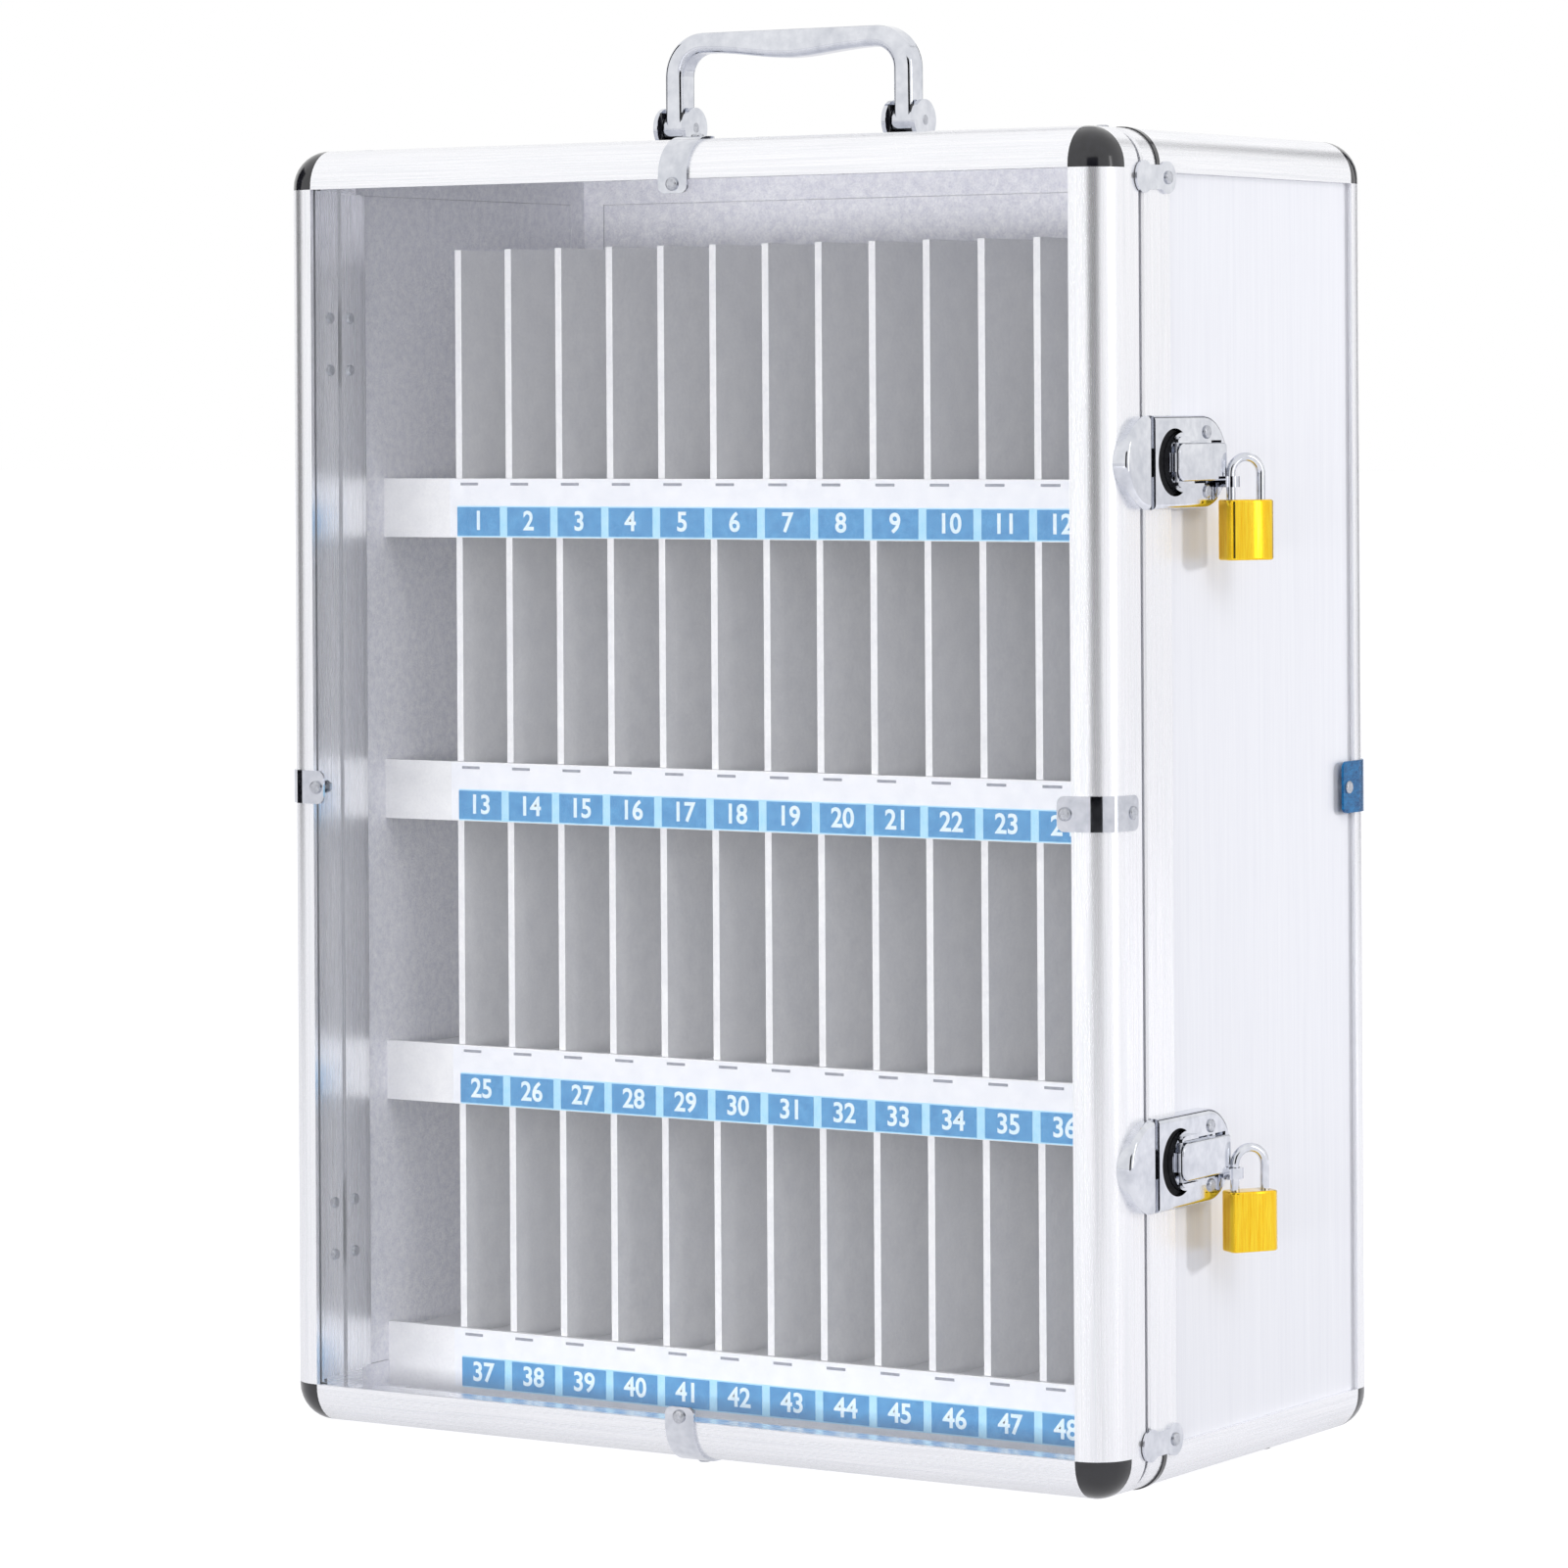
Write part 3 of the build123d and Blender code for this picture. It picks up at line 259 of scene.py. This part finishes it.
# %% Clear acrylic
acrylic = finish(
    "clear_acrylic",
    "#DCE1E8",
    "#EEF1F6",
    40.0,
    (1, 1, 1),
    (0.06, 0.03),
    6.0,
    0.002,
    {"Alpha": 0.06, "IOR": 1.49},
)
dress(acrylic, "door_window")

# %% [markdown]
# ## Black moulded pieces
# Corner caps, collars and handle pads are injection-moulded ABS, black and glossy. A moulded
# gloss is never perfect: it has slow ripples and slightly duller patches, which break up the
# highlight.

# %% Glossy black ABS
black = finish(
    "black_abs",
    "#0C0C10",
    "#1C1C22",
    6.0,
    (1, 1, 1),
    (0.22, 0.14),
    2.0,
    0.012,
    {"Coat Weight": 0.5, "Coat Roughness": 0.06},
)
dress(black, "door_corner_caps", "front_corner_collars", "rear_corner_caps")
dress(black, "handle_stops")

# %% [markdown]
# The crescents inside the latches are painted shade: a matt, nearly black piece with little
# gloss stands for the deep shadow in the gap between each catch and its latch.

# %% Painted shade for the latch crescents
latch_gap_shade = finish(
    "painted_latch_shade",
    "#060608",
    "#101014",
    2.0,
    (1, 1, 1),
    (0.7, 0.55),
    0.4,
    0.02,
    {"Specular IOR Level": 0.2},
)
# The crescents are painted shade, dark and matt to stand for the shadow in the latch gaps.
dress(latch_gap_shade, "latch_guides")

# %% [markdown]
# ## Chrome
# Latches, levers, straps, brackets, the handle and the shackles are pressed or cast,
# polished and chrome plated. Chrome mirrors the room, so its look comes from what stands
# round it. Its own part is a cool tone and a slight haze from handling.

# %% Chrome plate
chrome = finish(
    "chrome_plate",
    "#CDD0D8",
    "#E4E6EC",
    14.0,
    (1, 1, 1),
    (0.1, 0.05),
    4.0,
    0.0008,
    {"Metallic": 1.0},
)
dress(chrome, "corner_brackets", "door_straps", "latch_catches", "latch_bases")
dress(chrome, "latch_lever_upper", "latch_lever_lower", "handle_brackets", "handle_grip")
dress(chrome, "padlock_shackle_upper", "padlock_shackle_lower")

# %% [markdown]
# The straps on the rear edges still wear the thin blue film that protects the plating in
# the factory. The film is clear and coloured, so the metal's gloss shows through it, and
# it has small creases that run across the strap.

# %% Chrome under blue film
film = finish(
    "blue_protective_film",
    "#06487C",
    "#147AB6",
    5.0,
    (1, 1, 0.4),
    (0.3, 0.18),
    1.4,
    0.05,
    {"Metallic": 0.7, "Coat Weight": 0.15, "Coat Roughness": 0.15},
)
dress(film, "rear_straps")

# %% [markdown]
# ## Small steel and brass
# Hinge leaves, pins, rivets and screws are zinc-plated steel: a grey metal, duller than
# chrome, with a fine crystalline speckle. The hooks under the levers are painted nearly black, as
# painted shade for the latch gaps they lie in.

# %% Zinc-plated steel, and painted shade on the hooks
zinc = finish(
    "zinc_plated_steel",
    "#A9ACB4",
    "#D5D7DD",
    1.6,
    (1, 1, 1),
    (0.38, 0.24),
    0.4,
    0.01,
    {"Metallic": 1.0},
)
dress(zinc, "case_hinge_leaves", "door_hinge_leaves", "hinge_pins", "pivot_pins")
dress(zinc, "case_rivets", "door_fasteners")
# The hooks are painted nearly black, as painted shade for the latch gaps they lie in.
hook_painted_shade = finish(
    "painted_hook_shade",
    "#101114",
    "#24262B",
    2.0,
    (1, 1, 1),
    (0.45, 0.3),
    0.5,
    0.01,
    {"Metallic": 0.7},
)
dress(hook_painted_shade, "draw_hook_upper", "draw_hook_lower")

# %% [markdown]
# Padlock bodies are extruded brass, ground on their faces and lacquered. Brass keeps its
# yellow in its reflections, and the grinding leaves fine lines that run upright. It also
# leaves each broad face a little crowned across its width, which a second bump adds: its
# height falls with the square of the distance from the body's middle line.

# %% Lacquered brass
brass = finish(
    "lacquered_brass",
    "#F6BC0C",
    "#FFE03C",
    0.8,
    (1, 1, 25),
    (0.16, 0.1),
    0.35,
    0.003,
    {"Metallic": 0.95, "Coat Weight": 0.3, "Coat Roughness": 0.08},
)
LOCK_MIDDLE = (198.4 * MM, -20.2 * MM, 0.0)
LOCK_ACROSS = (0.5446, 0.8387, 0.0)
LOCK_CROWN = -13.0
tree = brass.node_tree
place = add(tree, "ShaderNodeTexCoord").outputs["Object"]
offset = add(tree, "ShaderNodeVectorMath", {0: place, 1: LOCK_MIDDLE}, operation="SUBTRACT")
across = add(
    tree,
    "ShaderNodeVectorMath",
    {0: offset.outputs[0], 1: LOCK_ACROSS},
    operation="DOT_PRODUCT",
).outputs["Value"]
square = add(tree, "ShaderNodeMath", {0: across, 1: across}, operation="MULTIPLY")
crown = add(tree, "ShaderNodeMath", {0: square.outputs[0], 1: LOCK_CROWN}, operation="MULTIPLY")
bend = add(
    tree,
    "ShaderNodeBump",
    {"Height": crown.outputs[0], "Strength": 1.0, "Distance": 1.0},
)
feed(tree, tree.nodes["Bump"], {"Normal": bend.outputs[0]})
dress(brass, "padlock_body_upper", "padlock_body_lower", "key_plug_upper", "key_plug_lower")

# %% [markdown]
# ## Rubber feet
# The feet are moulded rubber: black, matt and slightly pitted.

# %% Moulded rubber
rubber = finish("moulded_rubber", "#141416", "#26262A", 3.0, (1, 1, 1), (0.9, 0.75), 0.5, 0.05)
dress(rubber, "feet")

# %% [markdown]
# ## The labels
# A paper strip runs along each label rail. It is white with a faint fibre, and on it lie
# blue tags. The tags, strips and printing differ only in colour, so one kind of paper
# serves them all.

# %% Papers and inks
PAPER = {"Sheen Weight": 0.1}
white_paper = finish(
    "white_paper", "#EDEFF7", "#F9FAFF", 6.0, (1, 1, 1), (0.6, 0.5), 0.5, 0.01, PAPER
)
blue_paper = finish(
    "blue_paper", "#2F83C0", "#4D9FD6", 5.0, (1, 1, 1), (0.5, 0.42), 0.5, 0.01, PAPER
)
cyan_ink = finish("pale_cyan_ink", "#9FDCFA", "#BDE9FF", 5.0, (1, 1, 1), (0.5, 0.42), 0.5, 0.005)
white_ink = finish("white_ink", "#D3F0FF", "#F2FBFF", 5.0, (1, 1, 1), (0.5, 0.42), 0.5, 0.005)
grey_ink = finish("grey_ink", "#7F828E", "#A5A8B3", 1.2, (1, 1, 1), (0.6, 0.5), 0.4, 0.005)
dress(white_paper, "label_strips")
dress(blue_paper, "number_tags")

# %% [markdown]
# The places of the printing come from the tags themselves. The node's box holds four rows
# of twelve equal tags, so a tag's own size is enough to work out both pitches.

# %% Work out where the tags are
ROWS = 4
SLOTS = 12
tag_width = 20.6 * MM
tag_height = 11.3 * MM
tags_low, tags_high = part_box("number_tags")
strips_low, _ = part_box("label_strips")
slot_pitch = (tags_high.x - tags_low.x - tag_width) / (SLOTS - 1)
row_pitch = (tags_high.z - tags_low.z - tag_height) / (ROWS - 1)
print(f"slots {slot_pitch / MM:.1f} mm apart, rows {row_pitch / MM:.1f} mm apart")


def tag_middle(row, slot):
    """The middle of a tag's front face. Row 0 is the lowest, slot 0 the first on the left."""
    x = tags_low.x + tag_width / 2 + slot * slot_pitch
    z = tags_low.z + tag_height / 2 + row * row_pitch
    return Vector((x, tags_low.y, z))


# %% [markdown]
# A printed mark is a flat shape with a hair of thickness, so that it never flickers
# against its paper. A bmesh cube, scaled and moved, makes a bar, and many bars share one
# mesh, because they are printed together and never part.


# %% Helpers for printed marks
def keep(name, mesh_maker, material, body="case"):
    """Turns a bmesh into a piece that rides on a body."""
    mesh = bpy.data.meshes.new(name)
    mesh_maker.to_mesh(mesh)
    mesh_maker.free()
    piece = bpy.data.objects.new(name, mesh)
    bpy.context.scene.collection.objects.link(piece)
    mesh.materials.append(material)
    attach(piece, body)
    print(f"{name}: {len(mesh.polygons)} faces")


def add_bar(maker, middle, size):
    """A rectangular bar in a bmesh."""
    place = Matrix.Translation(middle) @ Matrix.Diagonal((*size, 1.0))
    bmesh.ops.create_cube(maker, size=1.0, matrix=place)


# %% [markdown]
# The felt doesn't stop at the boards: narrow strips of it are glued over the bare inner
# lips of the rear posts, rear rails and side rails. Each edge gets two strips at right
# angles. They are 0.3 mm thick, just enough to cover the metal. The posts' strips end where
# those of the rails begin, so that no two faces lie on one another in a corner.

# %% Felt strips over the inner lips
felt_depth = 0.3 * MM
wall = 6.4 * MM
case_low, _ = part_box("rear_post_left")
_, case_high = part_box("rear_post_right")
bar_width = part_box("rear_post_left")[1].x - case_low.x
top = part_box("rear_rail_top")[1].z
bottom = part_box("rear_rail_bottom")[0].z
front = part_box("side_rails")[0].y
strips = bmesh.new()


def add_between(maker, low, high):
    """A bar between two corners, given in any order."""
    low, high = Vector(low), Vector(high)
    size = [abs(a - b) for a, b in zip(low, high)]
    add_bar(maker, (low + high) / 2, size)


for side, outer in ((1, case_low.x), (-1, case_high.x)):
    lip = outer + side * wall
    skin = lip + side * felt_depth
    end = outer + side * bar_width
    back = case_high.y - wall
    low, high = bottom + bar_width, top - bar_width
    add_between(strips, (lip, case_high.y - bar_width, low), (skin, back, high))
    add_between(strips, (lip, back - felt_depth, low), (end, back, high))
    for level, turn in ((bottom, 1), (top, -1)):
        shelf = level + turn * wall
        reach = level + turn * bar_width
        add_between(strips, (lip, front, shelf), (skin, back, reach))
        add_between(strips, (lip, front, shelf), (end, back, shelf + turn * felt_depth))
for level, turn in ((bottom, 1), (top, -1)):
    shelf = level + turn * wall
    back = case_high.y - wall
    left, right = case_low.x + wall, case_high.x - wall
    add_between(strips, (left, back - felt_depth, shelf), (right, back, level + turn * bar_width))
    deep = case_high.y - bar_width
    left, right = case_low.x + bar_width, case_high.x - bar_width
    add_between(strips, (left, deep, shelf), (right, back, shelf + turn * felt_depth))
keep("felt_edge_strips", strips, felt)

# %% [markdown]
# Between the tags a pale cyan ground shows as narrow upright lines. It is one band per
# row, printed under the tags and a little taller than they are.

# %% The cyan ground
band_depth = 0.2 * MM
band_margin = 0.5 * MM
bands = bmesh.new()
for row in range(ROWS):
    first = tag_middle(row, 0)
    last = tag_middle(row, SLOTS - 1)
    middle = (first + last) / 2
    middle.y = strips_low.y - band_depth / 2
    length = last.x - first.x + tag_width
    add_bar(bands, middle, (length, band_depth, tag_height + 2 * band_margin))
keep("cyan_bands", bands, cyan_ink)

# %% [markdown]
# Above each tag the strip has a short grey rule, on which a name can be written.

# %% Writing rules
rule_size = (8.5 * MM, 0.1 * MM, 1.1 * MM)
rule_lift = 9.2 * MM
rule_shift = -4.6 * MM
rules = bmesh.new()
for row in range(ROWS):
    for slot in range(SLOTS):
        middle = tag_middle(row, slot)
        middle.x += rule_shift
        middle.y = strips_low.y - rule_size[1] / 2
        middle.z += tag_height / 2 + rule_lift
        add_bar(rules, middle, rule_size)
keep("writing_rules", rules, grey_ink)

# %% [markdown]
# The slots are numbered 1 to 48 in rows, from the top left. Blender's own font gives plain
# figures: each number is a text curve, thickened by its offset, turned into a mesh, stood
# up and moved to its tag. All of them share one mesh.

# %% Slot numbers
figure_size = 10.6 * MM
figure_offset = 0.22 * MM
figure_depth = 0.05 * MM
figures = bmesh.new()
for number in range(1, ROWS * SLOTS + 1):
    row = ROWS - 1 - (number - 1) // SLOTS
    slot = (number - 1) % SLOTS
    curve = bpy.data.curves.new(f"figure_{number}", "FONT")
    curve.body = str(number)
    curve.size = figure_size
    curve.offset = figure_offset
    curve.extrude = figure_depth
    curve.resolution_u = 4
    curve.align_x = "CENTER"
    curve.align_y = "CENTER"
    text = bpy.data.objects.new(curve.name, curve)
    flat = bpy.data.meshes.new_from_object(text)
    stand = Matrix.Translation(tag_middle(row, slot)) @ Matrix.Rotation(math.pi / 2, 4, "X")
    flat.transform(stand)
    figures.from_mesh(flat)
    bpy.data.objects.remove(text)
    bpy.data.curves.remove(curve)
    bpy.data.meshes.remove(flat)
keep("slot_numbers", figures, white_ink)

# %% [markdown]
# ## The studio
# The box stands on a pale floor that fades into a white background. The floor adds a
# little light of its own to what the camera and glass see of it, and less to what mirrors
# see. It stays white without more light on the object, and it keeps the soft shadow.

# %% Floor
FLOOR_IN_MIRRORS = 0.78
FLOOR_REACH = 30.0
ground = cad_box[0].z
level = Matrix.Translation((0, 0, ground))
floor_maker = bmesh.new()
bmesh.ops.create_grid(floor_maker, x_segments=1, y_segments=1, size=FLOOR_REACH, matrix=level)
floor_mesh = bpy.data.meshes.new("floor")
floor_maker.to_mesh(floor_mesh)
floor_maker.free()
floor = bpy.data.objects.new("floor", floor_mesh)
bpy.context.scene.collection.objects.link(floor)

paint = bpy.data.materials.new("floor_paint")
paint.use_nodes = True
tree = paint.node_tree
tree.nodes.remove(tree.nodes["Principled BSDF"])
rays = add(tree, "ShaderNodeLightPath").outputs
direct = add(
    tree,
    "ShaderNodeMath",
    {0: rays["Is Camera Ray"], 1: rays["Is Transmission Ray"]},
    operation="MAXIMUM",
)
seen = add(
    tree,
    "ShaderNodeMath",
    {0: rays["Is Glossy Ray"], 1: FLOOR_IN_MIRRORS, 2: direct.outputs[0]},
    operation="MULTIPLY_ADD",
)
glow = add(tree, "ShaderNodeEmission", {"Color": srgb("#F9F9FB"), "Strength": seen.outputs[0]})
matt = add(tree, "ShaderNodeBsdfDiffuse", {"Color": srgb("#7A7A7E")})
both = add(tree, "ShaderNodeAddShader", {0: matt.outputs[0], 1: glow.outputs[0]})
feed(tree, tree.nodes["Material Output"], {"Surface": both.outputs[0]})
floor_mesh.materials.append(paint)
print(f"floor at {ground / MM:.1f} mm")

# %% [markdown]
# The world is a plain white room. Diffuse surfaces get a moderate even light from it, and
# the camera, mirrors and glass see it as white.

# %% World
ROOM_LIGHT = 0.6
world = bpy.data.worlds.new("white_room")
bpy.context.scene.world = world
world.use_nodes = True
tree = world.node_tree
rays = add(tree, "ShaderNodeLightPath").outputs
seen = add(
    tree,
    "ShaderNodeMath",
    {0: rays["Is Camera Ray"], 1: rays["Is Glossy Ray"]},
    operation="MAXIMUM",
)
seen = add(
    tree,
    "ShaderNodeMath",
    {0: seen.outputs[0], 1: rays["Is Transmission Ray"]},
    operation="MAXIMUM",
)
power = add(
    tree, "ShaderNodeMapRange", {"Value": seen.outputs[0], "To Min": ROOM_LIGHT, "To Max": 1.0}
)
feed(tree, tree.nodes["Background"], {"Color": srgb("#FFFFFF"), "Strength": power.outputs[0]})

# %% [markdown]
# Soft boxes light the object: a wide low one in front, which reaches under the top rail into
# the case, two weak ones above, and a small one behind the right side, which throws each
# padlock's shadow forward along the case. Chrome in an all-white room looks like plaster, so
# dark cards stand round the object too, and a bright one gives the brass its highlight. Only
# mirrors see the cards, and no mirror sees a soft box.


# %% Lamps and cards
CASE_MIDDLE = Vector((0, 0, 0.25))
CARD_DISTANCE = 2.5


def aim(thing, place):
    """Puts something at a place, facing the middle of the case."""
    thing.location = place
    turn = (CASE_MIDDLE - Vector(place)).to_track_quat("-Z", "Y")
    thing.rotation_euler = turn.to_euler()


def soft_box(name, place, size, power):
    """A lamp with a soft edge that mirrors don't see."""
    light = bpy.data.lights.new(name, "AREA")
    light.shape = "RECTANGLE"
    light.size, light.size_y = size
    light.energy = power
    lamp = bpy.data.objects.new(name, light)
    bpy.context.scene.collection.objects.link(lamp)
    lamp.visible_glossy = False
    aim(lamp, place)


soft_box("front_light", (0.1, -2.8, 0.2), (2.6, 0.36), 62.0)
soft_box("right_light", (1.5, -0.4, 1.5), (0.9, 0.9), 9.0)
soft_box("rear_light", (1.75, 1.75, 0.62), (0.16, 0.16), 34.0)
soft_box("top_light", (0.2, 0.3, 2.3), (1.4, 1.4), 6.0)


def card(name, bearing, height, size, tone, strength=1.0):
    """A card that only mirrors see. Its bearing is in degrees from the door's front."""
    turn = math.radians(bearing)
    place = (CARD_DISTANCE * math.sin(turn), -CARD_DISTANCE * math.cos(turn), height)
    maker = bmesh.new()
    bmesh.ops.create_grid(maker, x_segments=1, y_segments=1, size=0.5)
    bmesh.ops.scale(maker, vec=(size[0], size[1], 1.0), verts=maker.verts)
    mesh = bpy.data.meshes.new(name)
    maker.to_mesh(mesh)
    maker.free()
    board = bpy.data.objects.new(name, mesh)
    bpy.context.scene.collection.objects.link(board)
    aim(board, place)
    board.visible_camera = False
    board.visible_diffuse = False
    board.visible_shadow = False
    board.visible_transmission = False
    cloth = bpy.data.materials.new(name)
    cloth.use_nodes = True
    cloth_tree = cloth.node_tree
    cloth_tree.nodes.remove(cloth_tree.nodes["Principled BSDF"])
    glow = add(cloth_tree, "ShaderNodeEmission", {"Color": srgb(tone), "Strength": strength})
    feed(cloth_tree, cloth_tree.nodes["Material Output"], {"Surface": glow.outputs[0]})
    mesh.materials.append(cloth)


card("card_front", 40.0, 0.4, (1.4, 2.0), "#08080C")
card("card_right", 171.0, 0.9, (0.55, 1.8), "#2A2A30")
card("card_left", -82.0, 0.9, (1.3, 1.8), "#121218")
card("card_high", 212.0, 2.6, (1.2, 0.3), "#80808A")
card("card_bright", 92.0, 0.6, (0.3, 1.6), "#FFFFFF", 3.5)

# %% [markdown]
# ## The camera
# The view is level, from the right of the door and from four fifths of the case's height,
# with a long lens, so that uprights stay upright. A level camera that frames an object below
# its own height shifts its lens down, as an architectural photographer does.

# %% Camera
IMAGE_SIDE = 1601
focal_pixels = 6253.0
horizon_row = 415.9
camera_place = (1.283, -2.0275, 401.0 * MM)
camera_roll = 0.33
camera_heading = 32.69
camera_data = bpy.data.cameras.new("camera")
camera = bpy.data.objects.new("camera", camera_data)
bpy.context.scene.collection.objects.link(camera)
bpy.context.scene.camera = camera
camera_data.sensor_width = 36.0
camera_data.lens = focal_pixels / IMAGE_SIDE * camera_data.sensor_width
camera_data.shift_y = (horizon_row - IMAGE_SIDE / 2) / IMAGE_SIDE
camera_data.clip_end = 200.0
camera.location = camera_place
turns = (90.0, camera_roll, camera_heading)
camera.rotation_euler = [math.radians(turn) for turn in turns]
print(f"lens {camera_data.lens:.1f} mm, shift {camera_data.shift_y:.3f}")

# %% [markdown]
# Colours are shown as they are written, without a film-like curve.

# %% Colour management
bpy.context.scene.view_settings.view_transform = "Standard"
